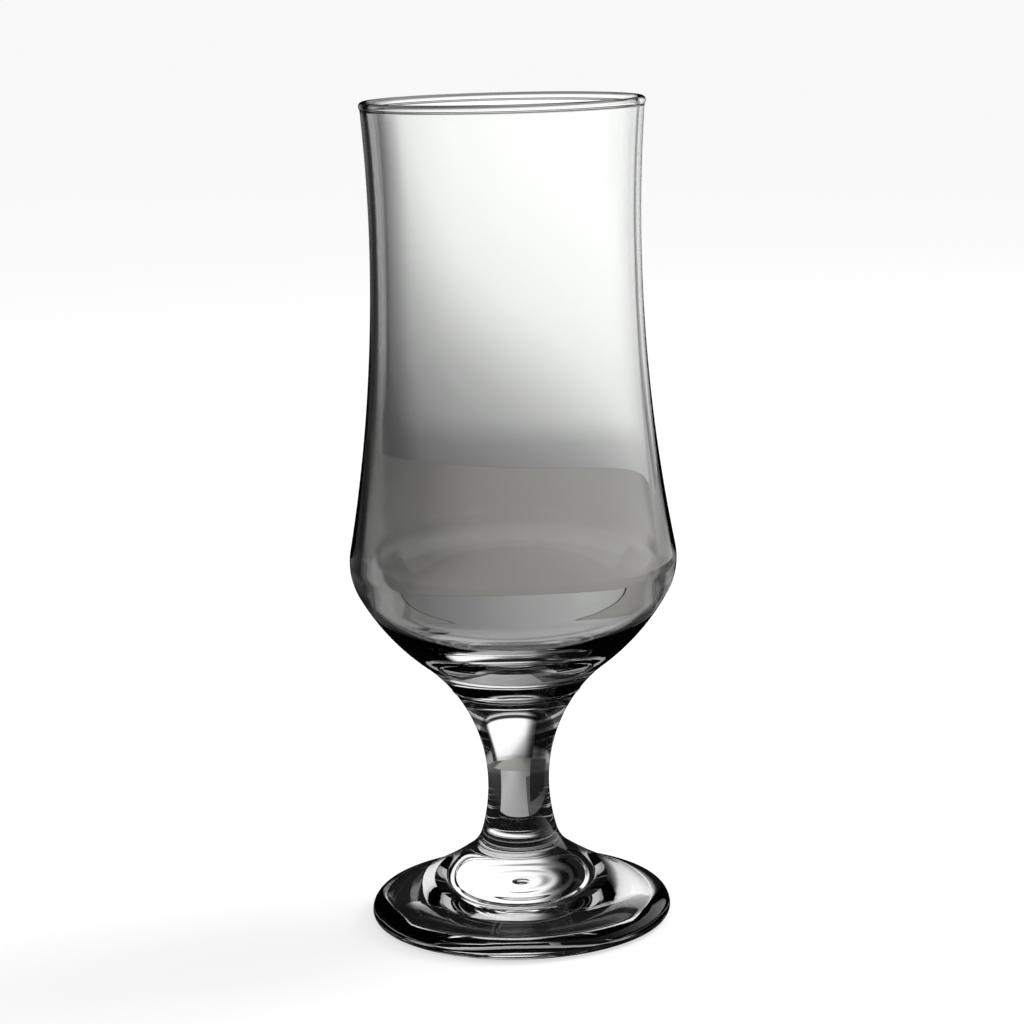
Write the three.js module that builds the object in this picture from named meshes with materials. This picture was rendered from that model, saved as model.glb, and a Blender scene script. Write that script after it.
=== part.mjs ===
// Stemmed beer glass that holds about 0.37 litre to the brim.
// A blown bowl with a short stub under it is fused to a pressed stem, and the stem to a pressed foot.
// Millimetres, +Z up. The origin is the centre of the ring that the glass stands on.
import * as THREE from "three";

// Overall sizes
const HEIGHT = 192;
const RIM_RADIUS = 32.5;
const FOOT_RADIUS = 35.3;

// Outside of the bowl: a waisted wall, a rounded shoulder and a belly drawn in to a crease above the stem
const WAIST_RADIUS = 31;
const WAIST_BELOW_RIM = 31.5;
const SHOULDER_RADIUS = 38;
const SHOULDER_ROUND = 15.5;
const BELLY_ROUND = 54.5;
const BELLY_DEPTH = 24.8;
const CREASE_RADIUS = 20.9;

// Glass left in the bowl's wall, which is thin at the rim and heavy below.
// The blown inside bends at a settle line, which runs round it at the widest place.
const LIP_BEAD_RADIUS = 1.05;
const RIM_WALL = 1.5;
const WAIST_WALL = 1.6;
const SHOULDER_WALL = 3.4;
const SETTLE_BELOW_SHOULDER = 1.3;
const SETTLE_ROUND = 19.5;
const SETTLE_BEND = THREE.MathUtils.degToRad(9);
const FLOOR_ABOVE_CREASE = 2.8;
const FLOOR_ROUND = 66;

// Stem: a narrow waist that flares up to the crease and down to the foot
const STEM_HEIGHT = 61.2;
const STEM_RADIUS = 7.2;
const STEM_WAIST_HEIGHT = 32.3;
const STEM_FLARE_ROUND = 41.3;
const STUB_LENGTH = 6.2;

// Foot: a swept top, a rounded edge and a flat ring to stand on.
// Inside the ring the underside rises to a hollow kick. A flat pad with a bead round it stands down in its middle,
// and a dimple is in the middle of the pad.
const FOOT_FILLET = 8.5;
const FOOT_SWEEP_ROUND = 87;
const FOOT_EDGE_SLOPE = THREE.MathUtils.degToRad(18);
const FOOT_EDGE_TOP_ROUND = 3.9;
const FOOT_EDGE_BASE_ROUND = 1.9;
const STANDING_RING_WIDTH = 3.9;
const KICK_RADIUS = 18;
const KICK_DEPTH = 3.4;
const KICK_ROUND = 60;
const PAD_DEPTH = 1.7;
const PAD_RADIUS = 12.2;
const PAD_BEAD_WIDTH = 2.6;
const PAD_BEAD_HEIGHT = 0.3;
const DIMPLE_RADIUS = 1.6;
const DIMPLE_DEPTH = 0.3;

// Fineness of the turned surfaces
const SIDES = 60;
const LARGEST_CHORD_GAP = 0.03;

// Outline points hold a radius in x and a height in y
const at = (radius, height) => new THREE.Vector2(radius, height);

// Points on a circle from one point of it to another, by the shorter way round
function arc(centre, from, to) {
  const radius = centre.distanceTo(from);
  const start = Math.atan2(from.y - centre.y, from.x - centre.x);
  const end = Math.atan2(to.y - centre.y, to.x - centre.x);
  const turn = THREE.MathUtils.euclideanModulo(end - start + Math.PI, 2 * Math.PI) - Math.PI;
  return sweep(centre, radius, start, turn);
}

// Points on a circle from a start angle through a turn, which is negative when it runs clockwise
function sweep(centre, radius, start, turn) {
  const widestStep = 2 * Math.acos(Math.max(0, 1 - LARGEST_CHORD_GAP / radius));
  const steps = Math.max(2, Math.ceil(Math.abs(turn) / widestStep));
  return new THREE.ArcCurve(centre.x, centre.y, radius, start, start + turn, turn < 0).getPoints(steps);
}

// The point where two circles cross, on the axis side of the line between their centres
function crossing(centreA, radiusA, centreB, radiusB) {
  const between = centreB.clone().sub(centreA);
  const span = between.length();
  const along = (radiusA ** 2 - radiusB ** 2 + span ** 2) / (2 * span);
  const aside = Math.sqrt(radiusA ** 2 - along ** 2);
  const direction = between.divideScalar(span);
  const towardsAxis = direction.y > 0 ? at(-direction.y, direction.x) : at(direction.y, -direction.x);
  return centreA.clone().addScaledVector(direction, along).addScaledVector(towardsAxis, aside);
}

// The point of a circle that lies in the direction of another point
function facing(centre, radius, target) {
  const direction = target.clone().sub(centre).normalize();
  return centre.clone().addScaledVector(direction, radius);
}

// Centre of the shallow arc that rises to a height over a level line between two points of it
function shallowArcCentre(begin, end, height) {
  const half = begin.distanceTo(end) / 2;
  const radius = (half ** 2 + height ** 2) / (2 * Math.abs(height));
  return at((begin.x + end.x) / 2, begin.y + height - Math.sign(height) * radius);
}

// Centre of the arc that stands upright at one point and passes through another
function uprightArcCentre(upright, through) {
  const rise = through.y - upright.y;
  const reach = through.x - upright.x;
  return at(upright.x + (rise ** 2 + reach ** 2) / (2 * reach), upright.y);
}

// A wall that stands upright at its waist and runs smoothly into the round of its shoulder.
// It gives the centre of its arc and the point where the two rounds touch.
function waistedWall(waist, shoulderRadius, shoulderCentre) {
  const round = shoulderRadius - shoulderCentre.x;
  const reach = waist.x - shoulderCentre.x;
  const rise = waist.y - shoulderCentre.y;
  const wallRound = (reach ** 2 + rise ** 2 - round ** 2) / (2 * (shoulderRadius - waist.x));
  const centre = at(waist.x + wallRound, waist.y);
  const touch = shoulderCentre.clone().lerp(centre, round / (round + wallRound));
  return { centre, touch };
}

// Heights that several pieces share
const creaseHeight = STEM_HEIGHT;
const shoulderHeight = creaseHeight + BELLY_DEPTH;
const waistHeight = HEIGHT - WAIST_BELOW_RIM;
const floorHeight = creaseHeight + FLOOR_ABOVE_CREASE;

// Outside of the stem, which the bowl's stub and the foot's boss carry on
const crease = at(CREASE_RADIUS, creaseHeight);
const stemWaist = at(STEM_RADIUS, STEM_WAIST_HEIGHT);
const upperFlareCentre = uprightArcCentre(stemWaist, crease);
const lowerFlareCentre = at(STEM_RADIUS + STEM_FLARE_ROUND, STEM_WAIST_HEIGHT);

// The weld between the bowl's stub and the stem is level, and lies on the upper flare
const bowlWeldHeight = creaseHeight - STUB_LENGTH;
const upperFlareRound = upperFlareCentre.x - STEM_RADIUS;
const bowlWeldReach = Math.sqrt(upperFlareRound ** 2 - (bowlWeldHeight - STEM_WAIST_HEIGHT) ** 2);
const bowlWeld = at(upperFlareCentre.x - bowlWeldReach, bowlWeldHeight);

// Foot's edge: a small round below and a larger one above it, both reaching the full radius
const edgeHeight = FOOT_EDGE_BASE_ROUND;
const edgeBaseCentre = at(FOOT_RADIUS - FOOT_EDGE_BASE_ROUND, edgeHeight);
const edgeTopCentre = at(FOOT_RADIUS - FOOT_EDGE_TOP_ROUND, edgeHeight);
const edge = at(FOOT_RADIUS, edgeHeight);

// Foot's swept top is hollow, so its centre is above it, and it touches the edge's upper round
const sweepReach = FOOT_RADIUS + FOOT_SWEEP_ROUND * Math.sin(FOOT_EDGE_SLOPE);
const sweepSpan = FOOT_SWEEP_ROUND + FOOT_EDGE_TOP_ROUND;
const sweepRise = Math.sqrt(sweepSpan ** 2 - (sweepReach - edgeTopCentre.x) ** 2);
const sweepCentre = at(sweepReach, edgeHeight + sweepRise);
const edgeTouch = facing(edgeTopCentre, FOOT_EDGE_TOP_ROUND, sweepCentre);

// A hollow fillet joins the stem's lower flare to the swept top, and the foot is welded on where it ends
const filletCentre = crossing(
  lowerFlareCentre,
  STEM_FLARE_ROUND - FOOT_FILLET,
  sweepCentre,
  FOOT_SWEEP_ROUND - FOOT_FILLET,
);
const flareTouch = facing(lowerFlareCentre, STEM_FLARE_ROUND, filletCentre);
const footWeld = facing(sweepCentre, FOOT_SWEEP_ROUND, filletCentre);

// Lip bead: a fire-polished round on the middle of the wall, wider than the wall on both sides
const beadCentre = at(RIM_RADIUS - LIP_BEAD_RADIUS, HEIGHT - LIP_BEAD_RADIUS);
const beadDrop = Math.sqrt(LIP_BEAD_RADIUS ** 2 - (RIM_WALL / 2) ** 2);
const outerWallTop = at(beadCentre.x + RIM_WALL / 2, beadCentre.y - beadDrop);
const innerWallTop = at(beadCentre.x - RIM_WALL / 2, beadCentre.y - beadDrop);

function bowlOutline() {
  const shoulder = at(SHOULDER_RADIUS, shoulderHeight);
  const shoulderCentre = at(SHOULDER_RADIUS - SHOULDER_ROUND, shoulderHeight);
  const bellyCentre = crossing(crease, BELLY_ROUND, shoulderCentre, BELLY_ROUND - SHOULDER_ROUND);
  const bellyTouch = facing(bellyCentre, BELLY_ROUND, shoulderCentre);
  const waist = at(WAIST_RADIUS, waistHeight);
  const wall = waistedWall(waist, SHOULDER_RADIUS, shoulderCentre);

  // Inside, the wall stands upright at the settle line
  const inWaist = at(WAIST_RADIUS - WAIST_WALL, waistHeight);
  const settle = at(SHOULDER_RADIUS - SHOULDER_WALL, shoulderHeight - SETTLE_BELOW_SHOULDER);
  const inShoulderCentre = at(settle.x - SETTLE_ROUND, settle.y);
  const inWall = waistedWall(inWaist, settle.x, inShoulderCentre);

  // Below the line a round leaves it at the bend, and touches the round of the floor
  const floorCentre = at(0, floorHeight + FLOOR_ROUND);
  const inward = at(-Math.cos(SETTLE_BEND), Math.sin(SETTLE_BEND));
  const toSettle = settle.clone().sub(floorCentre);
  const inBellyRound = (FLOOR_ROUND ** 2 - toSettle.lengthSq()) / (2 * (FLOOR_ROUND + toSettle.dot(inward)));
  const inBellyCentre = settle.clone().addScaledVector(inward, inBellyRound);
  const floorTouch = facing(floorCentre, FLOOR_ROUND, inBellyCentre);

  const beadStart = Math.atan2(-beadDrop, RIM_WALL / 2);
  return [
    at(0, bowlWeldHeight),
    ...arc(upperFlareCentre, bowlWeld, crease),
    ...arc(bellyCentre, crease, bellyTouch),
    ...arc(shoulderCentre, bellyTouch, shoulder),
    ...arc(shoulderCentre, shoulder, wall.touch),
    ...arc(wall.centre, wall.touch, waist),
    ...arc(uprightArcCentre(waist, outerWallTop), waist, outerWallTop),
    ...sweep(beadCentre, LIP_BEAD_RADIUS, beadStart, Math.PI - 2 * beadStart),
    ...arc(uprightArcCentre(inWaist, innerWallTop), innerWallTop, inWaist),
    ...arc(inWall.centre, inWaist, inWall.touch),
    ...arc(inShoulderCentre, inWall.touch, settle),
    ...arc(inBellyCentre, settle, floorTouch),
    ...arc(floorCentre, floorTouch, at(0, floorHeight)),
  ];
}

function stemOutline() {
  return [
    at(0, footWeld.y),
    ...arc(filletCentre, footWeld, flareTouch),
    ...arc(lowerFlareCentre, flareTouch, stemWaist),
    ...arc(upperFlareCentre, stemWaist, bowlWeld),
    at(0, bowlWeldHeight),
  ];
}

function footOutline() {
  const dimpleEdge = at(DIMPLE_RADIUS, PAD_DEPTH);
  const dimpleTop = at(0, PAD_DEPTH + DIMPLE_DEPTH);
  const dimpleCentre = shallowArcCentre(at(-DIMPLE_RADIUS, PAD_DEPTH), dimpleEdge, DIMPLE_DEPTH);
  const padEdge = at(PAD_RADIUS, PAD_DEPTH);
  const beadEnd = at(PAD_RADIUS + PAD_BEAD_WIDTH, PAD_DEPTH);
  const padBeadCentre = shallowArcCentre(padEdge, beadEnd, -PAD_BEAD_HEIGHT);
  const kick = at(KICK_RADIUS, KICK_DEPTH);
  const ring = at(edgeBaseCentre.x - STANDING_RING_WIDTH, 0);
  const kickCentre = crossing(ring, KICK_ROUND, kick, KICK_ROUND);
  return [
    ...arc(dimpleCentre, dimpleTop, dimpleEdge),
    ...arc(padBeadCentre, padEdge, beadEnd),
    ...arc(kickCentre, kick, ring),
    ...arc(edgeBaseCentre, at(edgeBaseCentre.x, 0), edge),
    ...arc(edgeTopCentre, edge, edgeTouch),
    ...arc(sweepCentre, edgeTouch, footWeld),
    at(0, footWeld.y),
  ];
}

// Neighbouring rounds share their touching point, which the outline keeps once
function withoutRepeats(outline) {
  return outline.filter((point, i) => i === 0 || point.distanceTo(outline[i - 1]) > 1e-6);
}

// Turns an outline about the upright axis
function turned(name, outline, material) {
  const geometry = new THREE.LatheGeometry(withoutRepeats(outline), SIDES);
  geometry.rotateX(Math.PI / 2);
  const mesh = new THREE.Mesh(geometry, material);
  mesh.name = name;
  return mesh;
}

// Clear soda-lime glass, which looks greyer where it is thick
const clearGlass = (color, opacity) =>
  new THREE.MeshStandardMaterial({ color, opacity, transparent: true, roughness: 0.03, metalness: 0 });

const glass = new THREE.Group();
glass.add(turned("bowl", bowlOutline(), clearGlass("#c4c6c6", 0.35)));
glass.add(turned("stem", stemOutline(), clearGlass("#8f9393", 0.6)));
glass.add(turned("foot", footOutline(), clearGlass("#7c8080", 0.6)));

export default glass;
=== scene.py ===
# Looks of a stemmed beer glass: a blown bowl fused to a pressed stem and foot, all of clear soda-lime glass.
# Outlines are in millimetres, as a radius and a height, and become metres when they are turned into a mesh.
import math

import bmesh
import bpy
from mathutils import Matrix, Vector


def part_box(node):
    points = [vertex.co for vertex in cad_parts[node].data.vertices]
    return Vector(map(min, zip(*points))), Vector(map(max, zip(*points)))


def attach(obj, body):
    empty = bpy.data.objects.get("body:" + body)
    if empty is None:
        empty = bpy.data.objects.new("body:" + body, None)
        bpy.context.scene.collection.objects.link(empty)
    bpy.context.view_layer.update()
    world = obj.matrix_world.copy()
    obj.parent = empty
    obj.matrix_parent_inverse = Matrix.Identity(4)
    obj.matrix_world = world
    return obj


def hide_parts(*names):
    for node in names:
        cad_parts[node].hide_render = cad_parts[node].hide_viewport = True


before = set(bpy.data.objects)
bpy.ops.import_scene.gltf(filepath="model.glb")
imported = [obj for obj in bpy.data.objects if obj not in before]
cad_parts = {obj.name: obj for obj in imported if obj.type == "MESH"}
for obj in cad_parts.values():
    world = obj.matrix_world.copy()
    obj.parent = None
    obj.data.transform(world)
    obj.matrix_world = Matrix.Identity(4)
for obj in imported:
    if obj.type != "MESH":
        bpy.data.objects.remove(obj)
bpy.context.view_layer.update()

MM = 0.001

# Sizes that the frame gives
bowl_low, bowl_high = (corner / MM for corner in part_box("bowl"))
foot_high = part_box("foot")[1] / MM
HEIGHT = bowl_high.z
SHOULDER_RADIUS = bowl_high.x
BOWL_WELD_HEIGHT = bowl_low.z
FOOT_RADIUS = foot_high.x

# Outside of the bowl
RIM_RADIUS = 32.5
WAIST_RADIUS = 31
WAIST_BELOW_RIM = 31.5
SHOULDER_ROUND = 15.5
BELLY_ROUND = 54.5
BELLY_DEPTH = 24.8
CREASE_RADIUS = 20.9

# Glass left in the bowl's wall. The inside bends slightly just below the shoulder, where a fine line shows
LIP_BEAD_RADIUS = 1.05
RIM_WALL = 1.5
WAIST_WALL = 1.6
SHOULDER_WALL = 3.4
SETTLE_BELOW_SHOULDER = 1.3
SETTLE_ROUND = 19.5
SETTLE_BEND = math.radians(9)
FLOOR_ABOVE_CREASE = 2.8
FLOOR_ROUND = 66

# Stem
STEM_HEIGHT = 61.2
STEM_RADIUS = 7.2
STEM_WAIST_HEIGHT = 32.3
STEM_FLARE_ROUND = 41.3

# Foot
FOOT_FILLET = 8.5
FOOT_SWEEP_ROUND = 87
FOOT_EDGE_SLOPE = math.radians(18)
FOOT_EDGE_TOP_ROUND = 3.9
FOOT_EDGE_BASE_ROUND = 1.9
STANDING_RING_WIDTH = 3.9
KICK_RADIUS = 18.0
KICK_DEPTH = 3.4
KICK_ROUND = 60
PAD_DEPTH = 1.7
PAD_RADIUS = 12.2
PAD_BEAD_WIDTH = 2.6
PAD_BEAD_HEIGHT = 0.3
DIMPLE_RADIUS = 1.6
DIMPLE_DEPTH = 0.3

# Marks that the hot work leaves: melted corners, faint rings on the pad, and a low bead at the bowl's weld.
# The stem stops short of both welds by a slit too thin to see, so that two pieces never share a face
CREASE_MELT = 0.5
LIP_BEAD_MELT = 0.35
SETTLE_MELT = 0.5
TOOL_MARK_PITCH = 3.5
TOOL_MARK_HEIGHT = 0.02
WELD_BEAD_WIDTH = 1.6
WELD_BEAD_HEIGHT = 0.16
WELD_SLIT = 0.02

# Fineness of the turned surfaces, and how near two points count as one
SIDES = 320
LARGEST_CHORD_GAP = 0.002
FEWEST_ARC_PARTS = 4
MELT_PARTS = 12
TOOL_MARK_PARTS = 24
WELD_BEAD_PART = 0.08
SAME_PLACE = 1e-5
SHARP_CORNER = math.radians(28)


def at(radius, height):
    return Vector((radius, height))


def sweep(centre, radius, start, turn):
    """Points on a circle from a start angle through a turn."""
    widest = 2 * math.acos(1 - LARGEST_CHORD_GAP / radius)
    parts = max(FEWEST_ARC_PARTS, math.ceil(abs(turn) / widest))
    angles = (start + turn * i / parts for i in range(parts + 1))
    return [centre + radius * at(math.cos(a), math.sin(a)) for a in angles]


def arc(centre, begin, end):
    """Points on a circle from one point of it to another, by the shorter way round."""
    start = math.atan2(begin.y - centre.y, begin.x - centre.x)
    stop = math.atan2(end.y - centre.y, end.x - centre.x)
    turn = (stop - start + math.pi) % (2 * math.pi) - math.pi
    return sweep(centre, (begin - centre).length, start, turn)


def crossing(centre_a, radius_a, centre_b, radius_b):
    """The point where two circles cross, on the axis side."""
    span = (centre_b - centre_a).length
    direction = (centre_b - centre_a) / span
    along = (radius_a**2 - radius_b**2 + span**2) / (2 * span)
    aside = math.sqrt(radius_a**2 - along**2)
    towards_axis = at(-direction.y, direction.x) * math.copysign(1, direction.y)
    return centre_a + along * direction + aside * towards_axis


def facing(centre, radius, target):
    """The point of a circle that faces a target."""
    return centre + radius * (target - centre).normalized()


def cap_round(half_width, height):
    """Radius of a low round cap."""
    return (half_width**2 + height**2) / (2 * height)


def upright_arc_centre(upright, through):
    """Centre of an arc that stands upright at one point and passes through another."""
    rise, reach = through.y - upright.y, through.x - upright.x
    return at(upright.x + (rise**2 + reach**2) / (2 * reach), upright.y)


def waisted_wall(waist, shoulder_radius, shoulder_centre):
    """Centre of the wall's arc, and the point where it runs into the round of the shoulder."""
    shoulder_round = shoulder_radius - shoulder_centre.x
    reach, rise = waist.x - shoulder_centre.x, waist.y - shoulder_centre.y
    wall_round = (reach**2 + rise**2 - shoulder_round**2) / (2 * (shoulder_radius - waist.x))
    centre = at(waist.x + wall_round, waist.y)
    return centre, shoulder_centre.lerp(centre, shoulder_round / (shoulder_round + wall_round))


# Heights and centres that several pieces share
shoulder_height = STEM_HEIGHT + BELLY_DEPTH
waist_height = HEIGHT - WAIST_BELOW_RIM
floor_height = STEM_HEIGHT + FLOOR_ABOVE_CREASE
crease = at(CREASE_RADIUS, STEM_HEIGHT)
stem_waist = at(STEM_RADIUS, STEM_WAIST_HEIGHT)
upper_flare_centre = upright_arc_centre(stem_waist, crease)
lower_flare_centre = at(STEM_RADIUS + STEM_FLARE_ROUND, STEM_WAIST_HEIGHT)
upper_flare_round = upper_flare_centre.x - STEM_RADIUS
bowl_weld = at(
    upper_flare_centre.x - math.sqrt(upper_flare_round**2 - (BOWL_WELD_HEIGHT - STEM_WAIST_HEIGHT) ** 2),
    BOWL_WELD_HEIGHT,
)
edge = at(FOOT_RADIUS, FOOT_EDGE_BASE_ROUND)
edge_base_centre = at(FOOT_RADIUS - FOOT_EDGE_BASE_ROUND, edge.y)
edge_top_centre = at(FOOT_RADIUS - FOOT_EDGE_TOP_ROUND, edge.y)
sweep_reach = FOOT_RADIUS + FOOT_SWEEP_ROUND * math.sin(FOOT_EDGE_SLOPE)
sweep_span = FOOT_SWEEP_ROUND + FOOT_EDGE_TOP_ROUND
sweep_centre = at(sweep_reach, edge.y + math.sqrt(sweep_span**2 - (sweep_reach - edge_top_centre.x) ** 2))
edge_touch = facing(edge_top_centre, FOOT_EDGE_TOP_ROUND, sweep_centre)
fillet_centre = crossing(
    lower_flare_centre, STEM_FLARE_ROUND - FOOT_FILLET, sweep_centre, FOOT_SWEEP_ROUND - FOOT_FILLET
)
flare_touch = facing(lower_flare_centre, STEM_FLARE_ROUND, fillet_centre)
foot_weld = facing(sweep_centre, FOOT_SWEEP_ROUND, fillet_centre)
lip_centre = at(RIM_RADIUS - LIP_BEAD_RADIUS, HEIGHT - LIP_BEAD_RADIUS)
lip_drop = math.sqrt(LIP_BEAD_RADIUS**2 - (RIM_WALL / 2) ** 2)
outer_wall_top = lip_centre + at(RIM_WALL / 2, -lip_drop)
inner_wall_top = lip_centre + at(-RIM_WALL / 2, -lip_drop)


def joined(*runs):
    """One outline of runs of points. Neighbouring runs share their touching point, which is kept once."""
    points = [p for run in runs for p in run]
    return [p for i, p in enumerate(points) if i == 0 or (p - points[i - 1]).length > SAME_PLACE]


def melted(points, corner, size):
    """The outline with its corner softened, as a flame leaves it, over a stretch of that size each way."""
    lengths = [0.0]
    for a, b in zip(points, points[1:]):
        lengths.append(lengths[-1] + (b - a).length)

    def point_at(length):
        for i in range(1, len(points)):
            if length <= lengths[i]:
                share = (length - lengths[i - 1]) / (lengths[i] - lengths[i - 1])
                return points[i - 1].lerp(points[i], share)
        return points[-1]

    middle = lengths[min(range(len(points)), key=lambda i: (points[i] - corner).length)]
    before, after = point_at(middle - size), point_at(middle + size)
    bend = []
    for i in range(MELT_PARTS + 1):
        t = i / MELT_PARTS
        bend.append((1 - t) ** 2 * before + 2 * t * (1 - t) * corner + t * t * after)
    kept_before = [p for p, s in zip(points, lengths) if s < middle - size - SAME_PLACE]
    kept_after = [p for p, s in zip(points, lengths) if s > middle + size + SAME_PLACE]
    return kept_before + bend + kept_after


def weld_bead(points, weld):
    """The outline with a low rounded bead where the weld shows."""
    fine = []
    for a, b in zip(points, points[1:]):
        near = min((a - weld).length, (b - weld).length) < WELD_BEAD_WIDTH
        parts = max(1, round((b - a).length / WELD_BEAD_PART)) if near else 1
        fine += [a.lerp(b, i / parts) for i in range(parts)]
    fine.append(points[-1])
    raised = []
    for p in fine:
        away = (p - weld).length / (WELD_BEAD_WIDTH / 2)
        if away < 1:
            p = p + at(WELD_BEAD_HEIGHT * math.cos(away * math.pi / 2) ** 2, 0)
        raised.append(p)
    return raised


def bowl_outline():
    shoulder = at(SHOULDER_RADIUS, shoulder_height)
    shoulder_centre = at(SHOULDER_RADIUS - SHOULDER_ROUND, shoulder_height)
    belly_centre = crossing(crease, BELLY_ROUND, shoulder_centre, BELLY_ROUND - SHOULDER_ROUND)
    belly_touch = facing(belly_centre, BELLY_ROUND, shoulder_centre)
    waist = at(WAIST_RADIUS, waist_height)
    wall_centre, wall_touch = waisted_wall(waist, SHOULDER_RADIUS, shoulder_centre)

    in_waist = at(WAIST_RADIUS - WAIST_WALL, waist_height)
    in_radius = SHOULDER_RADIUS - SHOULDER_WALL
    in_shoulder_centre = at(in_radius - SETTLE_ROUND, shoulder_height)
    in_wall_centre, in_wall_touch = waisted_wall(in_waist, in_radius, in_shoulder_centre)
    past_shoulder = math.asin(SETTLE_BELOW_SHOULDER / SETTLE_ROUND)
    settle = in_shoulder_centre + SETTLE_ROUND * at(math.cos(past_shoulder), -math.sin(past_shoulder))
    floor_centre = at(0, floor_height + FLOOR_ROUND)
    inward = at(-math.cos(SETTLE_BEND), math.sin(SETTLE_BEND))
    drop = settle - floor_centre
    in_belly_round = (FLOOR_ROUND**2 - drop.length_squared) / (2 * (FLOOR_ROUND + drop.dot(inward)))
    in_belly_centre = settle + in_belly_round * inward
    floor_touch = facing(floor_centre, FLOOR_ROUND, in_belly_centre)

    lip_start = math.atan2(-lip_drop, RIM_WALL / 2)
    outline = joined(
        arc(upper_flare_centre, bowl_weld, crease),
        arc(belly_centre, crease, belly_touch),
        arc(shoulder_centre, belly_touch, shoulder),
        arc(shoulder_centre, shoulder, wall_touch),
        arc(wall_centre, wall_touch, waist),
        arc(upright_arc_centre(waist, outer_wall_top), waist, outer_wall_top),
        sweep(lip_centre, LIP_BEAD_RADIUS, lip_start, math.pi - 2 * lip_start),
        arc(upright_arc_centre(in_waist, inner_wall_top), inner_wall_top, in_waist),
        arc(in_wall_centre, in_waist, in_wall_touch),
        arc(in_shoulder_centre, in_wall_touch, settle),
        arc(in_belly_centre, settle, floor_touch),
        arc(floor_centre, floor_touch, at(0, floor_height)),
    )
    outline = weld_bead(outline, bowl_weld)
    outline = melted(outline, crease, CREASE_MELT)
    outline = melted(outline, outer_wall_top, LIP_BEAD_MELT)
    outline = melted(outline, inner_wall_top, LIP_BEAD_MELT)
    outline = melted(outline, settle, SETTLE_MELT)
    return [at(0, bowl_weld.y)] + outline


def stem_outline():
    side = joined(
        arc(fillet_centre, foot_weld, flare_touch),
        arc(lower_flare_centre, flare_touch, stem_waist),
        arc(upper_flare_centre, stem_waist, bowl_weld),
    )
    side = weld_bead(side, bowl_weld)
    side[0] = side[0] + at(0, WELD_SLIT)
    side[-1] = side[-1] - at(0, WELD_SLIT)
    return [at(0, side[0].y)] + side + [at(0, side[-1].y)]


def marked_pad():
    """The pad's face, from the dimple out to its bead, with the faint rings that a tool leaves."""
    marks = round((PAD_RADIUS - DIMPLE_RADIUS) / TOOL_MARK_PITCH)
    face = []
    for i in range(marks * TOOL_MARK_PARTS + 1):
        t = i / (marks * TOOL_MARK_PARTS)
        mark = TOOL_MARK_HEIGHT * (1 - math.cos(2 * math.pi * marks * t))
        face.append(at(DIMPLE_RADIUS + (PAD_RADIUS - DIMPLE_RADIUS) * t, PAD_DEPTH - mark))
    return face


def foot_outline():
    dimple_top = at(0, PAD_DEPTH + DIMPLE_DEPTH)
    dimple_edge = at(DIMPLE_RADIUS, PAD_DEPTH)
    dimple_centre = dimple_top - at(0, cap_round(DIMPLE_RADIUS, DIMPLE_DEPTH))
    pad_edge = at(PAD_RADIUS, PAD_DEPTH)
    pad_bead_end = at(PAD_RADIUS + PAD_BEAD_WIDTH, PAD_DEPTH)
    pad_bead_round = cap_round(PAD_BEAD_WIDTH / 2, PAD_BEAD_HEIGHT)
    pad_bead_centre = at(PAD_RADIUS + PAD_BEAD_WIDTH / 2, PAD_DEPTH - PAD_BEAD_HEIGHT + pad_bead_round)
    kick = at(KICK_RADIUS, KICK_DEPTH)
    ring_inside = at(edge_base_centre.x - STANDING_RING_WIDTH, 0)
    kick_centre = crossing(ring_inside, KICK_ROUND, kick, KICK_ROUND)
    outline = joined(
        arc(dimple_centre, dimple_top, dimple_edge),
        marked_pad(),
        arc(pad_bead_centre, pad_edge, pad_bead_end),
        arc(kick_centre, kick, ring_inside),
        arc(edge_base_centre, at(edge_base_centre.x, 0), edge),
        arc(edge_top_centre, edge, edge_touch),
        arc(sweep_centre, edge_touch, foot_weld),
    )
    return outline + [at(0, foot_weld.y)]


def turned(name, outline, glass, weld_heights):
    """Turns an outline about the upright axis. Faces at a weld's height get the weld's own finish."""
    shape = bmesh.new()
    rings = []
    for p in outline:
        if p.x < SAME_PLACE:
            rings.append([shape.verts.new((0, 0, p.y * MM))])
            continue
        angles = (2 * math.pi * k / SIDES for k in range(SIDES))
        places = ((p.x * MM * math.cos(a), p.x * MM * math.sin(a), p.y * MM) for a in angles)
        rings.append([shape.verts.new(place) for place in places])
    for i, (low, high) in enumerate(zip(rings, rings[1:])):
        level = abs(outline[i].y - outline[i + 1].y) < SAME_PLACE
        at_weld = level and any(abs(outline[i].y - h) < 2 * WELD_SLIT for h in weld_heights)
        for k in range(SIDES):
            n = (k + 1) % SIDES
            if len(low) == 1:
                corners = [low[0], high[n], high[k]]
            elif len(high) == 1:
                corners = [low[k], low[n], high[0]]
            else:
                corners = [low[k], low[n], high[n], high[k]]
            face = shape.faces.new(corners)
            face.smooth = True
            face.material_index = 1 if at_weld else 0
    mesh = bpy.data.meshes.new(name)
    bmesh.ops.recalc_face_normals(shape, faces=shape.faces)
    shape.to_mesh(mesh)
    shape.free()
    mesh.set_sharp_from_angle(angle=SHARP_CORNER)
    mesh.materials.append(glass)
    mesh.materials.append(fused_joint)
    piece = bpy.data.objects.new(name, mesh)
    bpy.context.scene.collection.objects.link(piece)
    return piece


def linear(hex_colour):
    """An sRGB hex colour as the linear colour that Blender's sockets take."""
    channels = (int(hex_colour[i : i + 2], 16) / 255 for i in (1, 3, 5))
    return [c / 12.92 if c <= 0.04045 else ((c + 0.055) / 1.055) ** 2.4 for c in channels] + [1.0]


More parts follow.
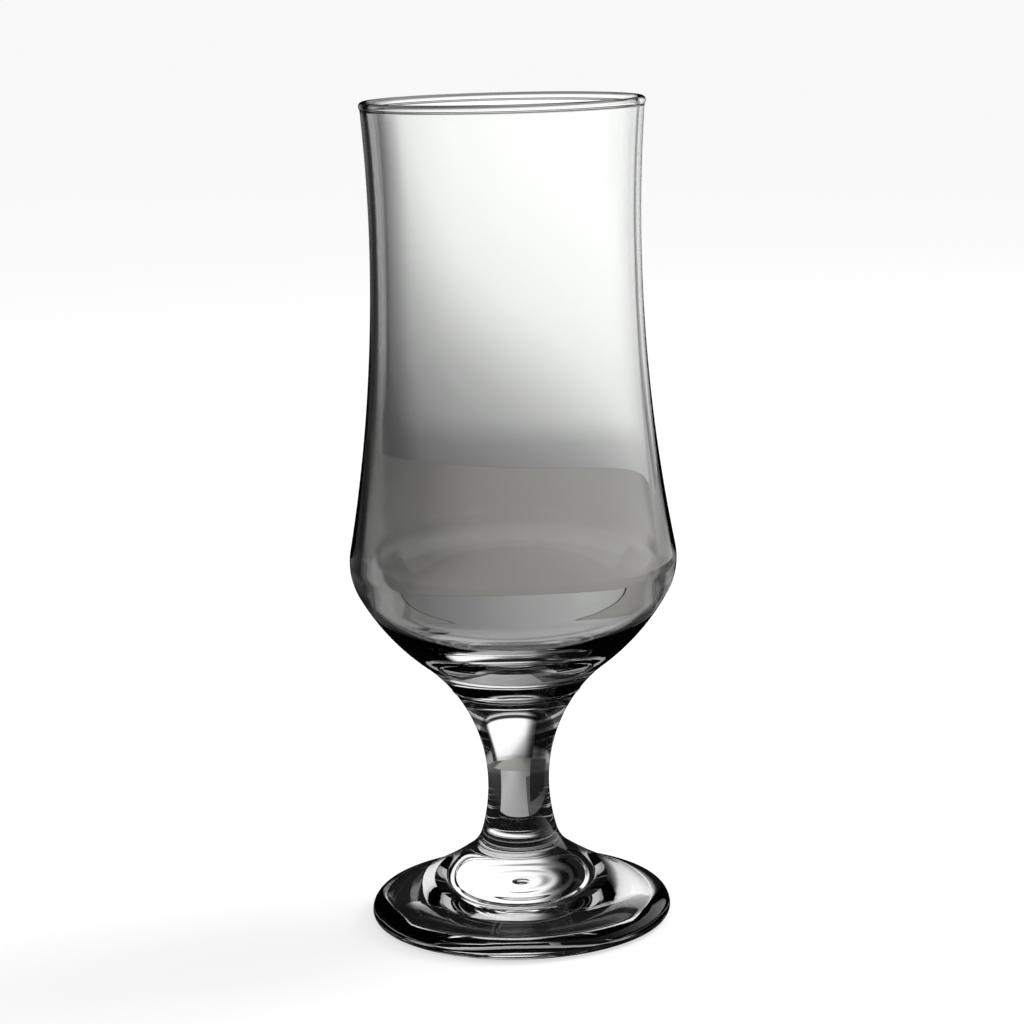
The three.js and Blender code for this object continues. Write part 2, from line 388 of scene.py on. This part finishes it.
def add_node(tree, kind, sockets=None, **settings):
    """Adds a node. Each socket takes a plain value, or another node's output, which is linked to it."""
    node = tree.nodes.new(kind)
    for name, value in settings.items():
        setattr(node, name, value)
    for name, value in (sockets or {}).items():
        if isinstance(value, bpy.types.NodeSocket):
            tree.links.new(value, node.inputs[name])
        else:
            node.inputs[name].default_value = value
    return node


def new_finish(name):
    material = bpy.data.materials.new(name)
    material.use_nodes = True
    material.node_tree.nodes.clear()
    return material, material.node_tree


def clear_glass(name, ripple_mm, ripple_height_mm, ripple_detail):
    """Soda-lime glass, polished by the flame and all but colourless: it is seen by what it bends and mirrors.
    The ripple is what mould and flame leave. It sways and breaks up the light and dark shapes behind."""
    material, tree = new_finish(name)
    place = add_node(tree, "ShaderNodeTexCoord")
    ripple = add_node(
        tree,
        "ShaderNodeTexNoise",
        {"Vector": place.outputs["Object"], "Scale": 1 / (ripple_mm * MM), "Detail": ripple_detail},
    )
    bump = add_node(
        tree,
        "ShaderNodeBump",
        {"Height": ripple.outputs["Fac"], "Strength": 1.0, "Distance": ripple_height_mm * MM},
    )
    glass = add_node(
        tree,
        "ShaderNodeBsdfPrincipled",
        {
            "Base Color": linear("#FDFEFD"),
            "Roughness": 0.0,
            "IOR": 1.52,
            "Transmission Weight": 1.0,
            "Normal": bump.outputs["Normal"],
        },
    )
    add_node(tree, "ShaderNodeOutputMaterial", {"Surface": glass.outputs["BSDF"]})
    return material


# A fused joint is one glass with the next piece, so the eye sees straight through it
fused_joint, tree = new_finish("fused_joint")
clear = add_node(tree, "ShaderNodeBsdfTransparent")
add_node(tree, "ShaderNodeOutputMaterial", {"Surface": clear.outputs["BSDF"]})

# Blown glass has long, soft ripples, so that what stands behind the bowl only sways a little
blown_glass = clear_glass("blown_soda_lime_glass", ripple_mm=22, ripple_height_mm=0.02, ripple_detail=1.0)
# Pressed glass has the shorter ripples of its mould, so that light in the foot and stem breaks into streaks
pressed_glass = clear_glass("pressed_soda_lime_glass", ripple_mm=7, ripple_height_mm=0.012, ripple_detail=2.0)

bowl = turned("blown_bowl", bowl_outline(), blown_glass, [bowl_weld.y])
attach(bowl, "root")
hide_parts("bowl")
stem = turned("pressed_stem", stem_outline(), pressed_glass, [bowl_weld.y, foot_weld.y])
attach(stem, "root")
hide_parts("stem")
foot = turned("pressed_foot", foot_outline(), pressed_glass, [foot_weld.y])
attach(foot, "root")
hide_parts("foot")

# Studio, in metres: a pale floor and world, white to the camera, in reflections and through the glass
WHITE = "#FFFFFF"
QUAD = [(0, 1, 2, 3)]
SKY_ON_THINGS, SKY_SEEN = 0.95, 1.0
FLOOR_HALF = 40.0
FLOOR_DROP = 0.3 * MM
FLOOR_GLOW = 0.6
SOFT_BOX_SIZE = (0.5, 0.7)
SOFT_BOX_WATTS = 9.0
SOFT_BOX_PLACE = (0.7, 0.3, 0.9)
GLASS_MIDDLE = Vector((0, 0, 0.1))


def seen_share(tree):
    """1 for the camera, a reflection or a look through glass, and 0 for light that falls on things."""
    path = add_node(tree, "ShaderNodeLightPath").outputs
    share = path["Is Camera Ray"]
    for kind in ("Is Glossy Ray", "Is Transmission Ray"):
        share = add_node(tree, "ShaderNodeMath", {0: share, 1: path[kind]}, operation="MAXIMUM").outputs[0]
    return share


def level_corners(height, places):
    """Corners of a level card over places on the table."""
    return [(x, y, height) for x, y in places]


def upright_corners(begin, end, low, high):
    """Corners of an upright card from one place on the table to another."""
    return [(*begin, low), (*end, low), (*end, high), (*begin, high)]


def placed(name, corners, faces, material):
    """A thing of the studio, which isn't part of the glass."""
    mesh = bpy.data.meshes.new(name)
    mesh.from_pydata(corners, [], faces)
    mesh.materials.append(material)
    thing = bpy.data.objects.new(name, mesh)
    bpy.context.scene.collection.objects.link(thing)
    return thing


world = bpy.data.worlds.new("pale_studio")
world.use_nodes = True
bpy.context.scene.world = world
tree = world.node_tree
tree.nodes.clear()
strength = add_node(
    tree, "ShaderNodeMapRange", {"Value": seen_share(tree), "To Min": SKY_ON_THINGS, "To Max": SKY_SEEN}
)
sky = add_node(tree, "ShaderNodeBackground", {"Color": linear(WHITE), "Strength": strength.outputs["Result"]})
add_node(tree, "ShaderNodeOutputWorld", {"Surface": sky.outputs["Background"]})

# A matt pale floor, which keeps the glass's soft shadow and glows enough to run into the white behind
pale_floor, tree = new_finish("pale_studio_floor")
matt = add_node(tree, "ShaderNodeBsdfDiffuse", {"Color": linear("#F4F4F4")})
glow = add_node(tree, "ShaderNodeEmission", {"Color": linear(WHITE), "Strength": 1.0})
share = add_node(tree, "ShaderNodeMath", {0: seen_share(tree), 1: FLOOR_GLOW}, operation="MULTIPLY")
blend = add_node(
    tree, "ShaderNodeMixShader", {0: share.outputs[0], 1: matt.outputs["BSDF"], 2: glow.outputs["Emission"]}
)
add_node(tree, "ShaderNodeOutputMaterial", {"Surface": blend.outputs["Shader"]})
floor_places = [(x * FLOOR_HALF, y * FLOOR_HALF) for x, y in ((-1, -1), (1, -1), (1, 1), (-1, 1))]
placed("studio_floor", level_corners(-FLOOR_DROP, floor_places), QUAD, pale_floor)

lamp = bpy.data.lights.new("right_soft_box", "AREA")
lamp.shape = "RECTANGLE"
lamp.size, lamp.size_y = SOFT_BOX_SIZE
lamp.energy = SOFT_BOX_WATTS
soft_box = bpy.data.objects.new("right_soft_box", lamp)
soft_box.location = SOFT_BOX_PLACE
soft_box.rotation_euler = (GLASS_MIDDLE - soft_box.location).to_track_quat("-Z", "Y").to_euler()
soft_box.visible_glossy = soft_box.visible_transmission = False
bpy.context.scene.collection.objects.link(soft_box)

# Cards round the glass, which glow with painted light and shade: a wall with a painted pool of light and a
# grey table, in a dark room, are seen only in and through the glass.
# They stand clear of the light that falls on things, and the camera looks past them at the white studio.
# The level ones lie one just under another, so that none flickers through the next
CARD_GAIN = 1.07
WALL_BACK, WALL_SLANT = 0.50, -0.2
WALL_LEFT, WALL_RIGHT, WALL_TOP = -0.17, 0.34, 0.55
POOL_X, POOL_Z = 0.187, 0.314
POOL_END_SLANT = (1, 0, -0.2)
SHADE_FLAG_LEVEL = 0.015
SHEET_BACK = 0.205
SHEET_LINE = 1.8 * MM
TABLE_HEIGHT, SHADE_SHEET_HEIGHT, OUTER_TABLE_HEIGHT = -0.1 * MM, -0.15 * MM, -0.2 * MM
ARC_WALL_PARTS = 48
SHEEN_RADIUS, SHEEN_FROM, SHEEN_TO, SHEEN_TOP = 0.55, 34, 150, 0.30
SIDE_RADIUS, SIDE_FROM, SIDE_TO, SIDE_TOP, SIDE_LEVEL = 0.5, 70, 290, 0.35, 0.55
OUTER_TABLE_RADIUS, OUTER_TABLE_SIDES = 1.6, 72
ROOM_RADIUS, ROOM_PARTS = 1.5, 48
ROOM_LEVEL = 0.004


def card(name, corners, faces, tint, brightness, mirrored=False):
    """A card that glows by its brightness, one level or a function that builds it from the place on the card.
    Its glow is painted light and shade. It is seen through the glass, or as a reflection on its outside, but
    not in both ways."""
    finish, tree = new_finish(name)
    if callable(brightness):
        brightness = brightness(tree, add_node(tree, "ShaderNodeTexCoord").outputs["Object"])
    glow = add_node(tree, "ShaderNodeEmission", {"Color": linear(tint), "Strength": brightness})
    add_node(tree, "ShaderNodeOutputMaterial", {"Surface": glow.outputs["Emission"]})
    thing = placed(name, corners, faces, finish)
    thing.visible_camera = thing.visible_diffuse = thing.visible_shadow = False
    thing.visible_glossy = mirrored
    thing.visible_transmission = not mirrored


def graded(tree, value, stops):
    """Brightness that runs through stops of a value and a level.
    The gain makes up for light that the glass's surfaces turn away."""
    low, high = stops[0][0], stops[-1][0]
    share = add_node(tree, "ShaderNodeMapRange", {"Value": value, "From Min": low, "From Max": high})
    ramp = add_node(tree, "ShaderNodeValToRGB", {"Fac": share.outputs["Result"]})
    elements = ramp.color_ramp.elements
    while len(elements) < len(stops):
        elements.new(0.5)
    for element, (stop, level) in zip(elements, stops):
        element.position = (stop - low) / (high - low)
        element.color = (level * CARD_GAIN,) * 3 + (1,)
    return ramp.outputs["Color"]


def graded_along(axis, stops):
    """The brightness of a card that runs through stops along X, Y or Z, in metres."""

    def brightness(tree, place):
        ways = add_node(tree, "ShaderNodeSeparateXYZ", {"Vector": place}).outputs
        return graded(tree, ways[axis], stops)

    return brightness


def dimmed(tree, brightness, *shares):
    """A brightness that each share dims in turn."""
    for share in shares:
        product = add_node(tree, "ShaderNodeMath", {0: brightness, 1: share}, operation="MULTIPLY")
        brightness = product.outputs[0]
    return brightness


def painted_pool_of_light(tree, place):
    """Painted light and shade on the glowing wall: a pool of light, bright above and to the right, and darker
    towards the lower left.
    Over it is a painted dark gap, then a painted bright band."""
    ways = add_node(tree, "ShaderNodeSeparateXYZ", {"Vector": place}).outputs
    flat = add_node(tree, "ShaderNodeVectorMath", {0: place, 1: (1, 0, 1)}, operation="MULTIPLY").outputs[0]
    pool = (POOL_X, 0, POOL_Z)
    lower_left = add_node(tree, "ShaderNodeVectorMath", {0: flat, 1: pool}, operation="MINIMUM").outputs[0]
    away = add_node(tree, "ShaderNodeVectorMath", {0: lower_left, 1: pool}, operation="DISTANCE")
    slant = add_node(tree, "ShaderNodeVectorMath", {0: place, 1: POOL_END_SLANT}, operation="DOT_PRODUCT")
    by_distance = [
        (0, 1.05), (0.23, 1.0), (0.27, 0.93), (0.295, 0.85), (0.310, 0.72), (0.323, 0.58), (0.338, 0.44),
        (0.355, 0.33), (0.38, 0.22), (0.41, 0.13), (0.47, 0.07),
    ]
    by_height = [
        (0, 0.7), (0.012, 0.7), (0.025, 0.93), (0.2, 0.95), (0.25, 1.0), (0.275, 0.85), (0.29, 0.12),
        (0.30, 0.03), (0.34, 0.03), (0.36, 0.6), (0.40, 0.6), (0.43, 0.33), (0.47, 0.19), (0.52, 0.05),
    ]
    from_left = [
        (-0.15, 0.12), (-0.118, 0.32), (-0.09, 0.6), (-0.065, 0.9), (-0.03, 0.95), (0.25, 0.95), (0.34, 0.03),
    ]
    right_end = [(0.21, 1.0), (0.235, 0.85), (0.25, 0.3), (0.27, 0.05)]
    return dimmed(
        tree,
        graded(tree, away.outputs["Value"], by_distance),
        graded(tree, ways["Z"], by_height),
        graded(tree, ways["X"], from_left),
        graded(tree, slant.outputs["Value"], right_end),
    )


def painted_light_round_about(tree, place):
    """Painted light and shade: darkest near the glass, as painted shade under and round it, and behind it at
    the left, and paler a way off and towards the other sides.
    It fades above the table, to a room that is all but black."""
    ways = add_node(tree, "ShaderNodeSeparateXYZ", {"Vector": place}).outputs
    turn = add_node(tree, "ShaderNodeMath", {0: ways["X"], 1: ways["Y"]}, operation="ARCTAN2").outputs[0]
    flat = add_node(tree, "ShaderNodeVectorMath", {0: place, 1: (1, 1, 0)}, operation="MULTIPLY").outputs[0]
    away = add_node(tree, "ShaderNodeVectorMath", {0: flat}, operation="LENGTH").outputs["Value"]
    by_turn = [
        (-3.15, 0.6), (-1.5, 0.5), (-0.95, 0.32), (-0.8, 0.2), (-0.7, 0.07), (-0.5, 0.02), (-0.3, 0.06),
        (0.35, 0.2), (0.45, 0.26), (0.8, 0.29), (1.05, 0.3), (1.5, 0.5), (3.15, 0.6),
    ]
    by_distance = [
        (0, 0.01), (0.045, 0.01), (0.07, 0.1), (0.15, 0.13), (0.21, 0.2), (0.3, 0.3), (0.45, 0.4),
        (0.55, 0.93), (1.6, 0.93),
    ]
    by_height = [(0, 0.93), (0.06, 0.93), (0.14, 0), (1.6, 0)]
    glow = dimmed(
        tree,
        graded(tree, turn, by_turn),
        graded(tree, away, by_distance),
        graded(tree, ways["Z"], by_height),
    )
    return add_node(tree, "ShaderNodeMath", {0: glow, 1: ROOM_LEVEL}, operation="ADD").outputs[0]


def on_wall(x):
    """The lit wall's line on the table, which slants away from the camera towards the left."""
    return x, WALL_BACK + WALL_SLANT * x


def round_the_glass(radius, first, last, top):
    """Corners and faces of a wall round the glass, between two compass angles, clockwise from the back."""
    corners = []
    for height in (0, top):
        for i in range(ARC_WALL_PARTS + 1):
            angle = math.radians(first + (last - first) * i / ARC_WALL_PARTS)
            corners.append((radius * math.sin(angle), radius * math.cos(angle), height))
    row = ARC_WALL_PARTS + 1
    return corners, [(i, i + 1, i + 1 + row, i + row) for i in range(ARC_WALL_PARTS)]


# The wall glows with a painted pool of light: it is the bright field in the bowl, and its faded edges are the
# darker sides of that field
wall_corners = upright_corners(on_wall(WALL_LEFT), on_wall(WALL_RIGHT), 0, WALL_TOP)
card("painted_light_wall", wall_corners, QUAD, WHITE, painted_pool_of_light)
# A narrow glowing panel of painted light, which greys the bowl's left edge
painted_light_panel_levels = [
    (0.09, 0.06), (0.12, 0.07), (0.133, 0.085), (0.143, 0.105), (0.153, 0.125), (0.163, 0.17), (0.173, 0.23),
    (0.185, 0.30), (0.193, 0.31), (0.203, 0.21), (0.24, 0.12),
]
card(
    "left_painted_light_panel",
    upright_corners((-0.052, 0.10), (-0.066, 0.0945), 0.12, 0.22),
    QUAD,
    WHITE,
    graded_along("Z", painted_light_panel_levels),
)
# A low dark card behind the foot at its left, painted shade which keeps part of the stem and foot dark
card("painted_shade_flag", upright_corners((-0.060, 0.060), (-0.014, 0.060), 0, 0.034), QUAD, WHITE, SHADE_FLAG_LEVEL)
# The table far behind is a warm grey, and shows as a broad band low in the bowl. It glows with painted light,
# which changes along it from left to right
warm_front = SHEET_BACK + SHEET_LINE
warm_table_light_levels = [
    (-0.42, 0.08), (-0.3, 0.015), (-0.22, 0.02), (-0.13, 0.06), (-0.06, 0.12), (-0.02, 0.23), (0.04, 0.31),
    (0.14, 0.33), (0.165, 0.2), (0.19, 0.07), (0.28, 0.1), (0.34, 0.16), (0.42, 0.27),
]
card(
    "warm_table_painted_light",
    level_corners(TABLE_HEIGHT, [(-0.2, warm_front), (0.2, warm_front), on_wall(0.42), on_wall(-0.42)]),
    QUAD,
    "#FFFBF8",
    graded_along("X", warm_table_light_levels),
)
# A sheet on the table, which ends just short of that, shows under the band and in the stem. It glows with
# painted light, darker to the left
sheet_right = [(-0.007, 0.040), (0.018, 0.040), (0.092, SHEET_BACK)]
sheet_left = [(-0.16, SHEET_BACK), (-0.16, 0.15), (-0.024, 0.15)]
sheet_light_levels = [
    (-0.12, 0.06), (-0.07, 0.09), (-0.035, 0.16), (-0.012, 0.25), (0.005, 0.35), (0.025, 0.45), (0.06, 0.39),
    (0.09, 0.34),
]
card(
    "near_sheet_painted_light",
    level_corners(TABLE_HEIGHT, sheet_right + sheet_left),
    [tuple(range(6))],
    WHITE,
    graded_along("X", sheet_light_levels),
)
# Painted shade on the table at the left of the sheet, as a dim glowing card
painted_shade_levels = [(-0.16, 0.04), (-0.10, 0.04), (-0.05, 0.04), (-0.01, 0.09)]
card(
    "painted_shade_sheet",
    level_corners(SHADE_SHEET_HEIGHT, [(-0.16, 0.040), (0.012, 0.040), (0.012, 0.15), (-0.16, 0.15)]),
    QUAD,
    WHITE,
    graded_along("X", painted_shade_levels),
)
# A bright glowing card at the right, a painted reflection which shows as a pale sheen on the right of the
# glass
painted_sheen_levels = [
    (-0.40, 0), (-0.25, 0.1), (-0.1, 0.35), (0, 0.6), (0.15, 0.85), (0.3, 0.95), (0.42, 0.95), (0.46, 0.3),
]
card(
    "right_painted_sheen",
    *round_the_glass(SHEEN_RADIUS, SHEEN_FROM, SHEEN_TO, SHEEN_TOP),
    WHITE,
    graded_along("Y", painted_sheen_levels),
    mirrored=True,
)
# A grey wall at the sides and in front, glowing with painted light that is dimmer low down, which shows
# through the glass from its other sides
side_wall_light_levels = [(0, 0.5), (0.03, 0.45), (0.06, 0.4), (0.09, 0.4), (0.15, SIDE_LEVEL), (SIDE_TOP, SIDE_LEVEL)]
card(
    "side_and_front_wall_painted_light",
    *round_the_glass(SIDE_RADIUS, SIDE_FROM, SIDE_TO, SIDE_TOP),
    WHITE,
    graded_along("Z", side_wall_light_levels),
)
# The glowing table and the dark room beyond the cards paint the dark outlines as painted shade. Both are
# mirrored almost black, as painted dark reflections
turns = (2 * math.pi * k / OUTER_TABLE_SIDES for k in range(OUTER_TABLE_SIDES))
outer_table = level_corners(
    OUTER_TABLE_HEIGHT, [(OUTER_TABLE_RADIUS * math.cos(a), OUTER_TABLE_RADIUS * math.sin(a)) for a in turns]
)
outer_table_face = [tuple(range(OUTER_TABLE_SIDES))]
card("outer_table", outer_table, outer_table_face, WHITE, painted_light_round_about)
card("outer_table_painted_reflection", outer_table, outer_table_face, WHITE, ROOM_LEVEL, mirrored=True)
room = bmesh.new()
bmesh.ops.create_uvsphere(room, u_segments=ROOM_PARTS, v_segments=ROOM_PARTS, radius=ROOM_RADIUS)
bmesh.ops.delete(room, geom=[v for v in room.verts if v.co.z < -MM], context="VERTS")
room_corners = [tuple(v.co) for v in room.verts]
room_faces = [tuple(v.index for v in f.verts) for f in room.faces]
room.free()
card("room", room_corners, room_faces, WHITE, painted_light_round_about)
card("room_painted_reflection", room_corners, room_faces, WHITE, ROOM_LEVEL, mirrored=True)

# Camera at the photograph's place, in metres
CAMERA_BACK, CAMERA_HEIGHT = 0.6495, 0.2210
CAMERA_PITCH, CAMERA_ROLL = math.radians(10.818), math.radians(1.42)
FOCAL_PIXELS, PICTURE_PIXELS, SENSOR_MM = 2851.1, 1024, 36
NEAREST_SEEN, FARTHEST_SEEN = 0.01, 50
lens = bpy.data.cameras.new("camera")
lens.sensor_width = SENSOR_MM
lens.lens = FOCAL_PIXELS / PICTURE_PIXELS * SENSOR_MM
lens.clip_start, lens.clip_end = NEAREST_SEEN, FARTHEST_SEEN
camera = bpy.data.objects.new("camera", lens)
turn = Matrix.Rotation(math.pi / 2 - CAMERA_PITCH, 4, "X") @ Matrix.Rotation(-CAMERA_ROLL, 4, "Z")
camera.matrix_world = Matrix.Translation((0, -CAMERA_BACK, CAMERA_HEIGHT)) @ turn
bpy.context.scene.collection.objects.link(camera)
bpy.context.scene.camera = camera
bpy.context.scene.view_settings.view_transform = "Standard"
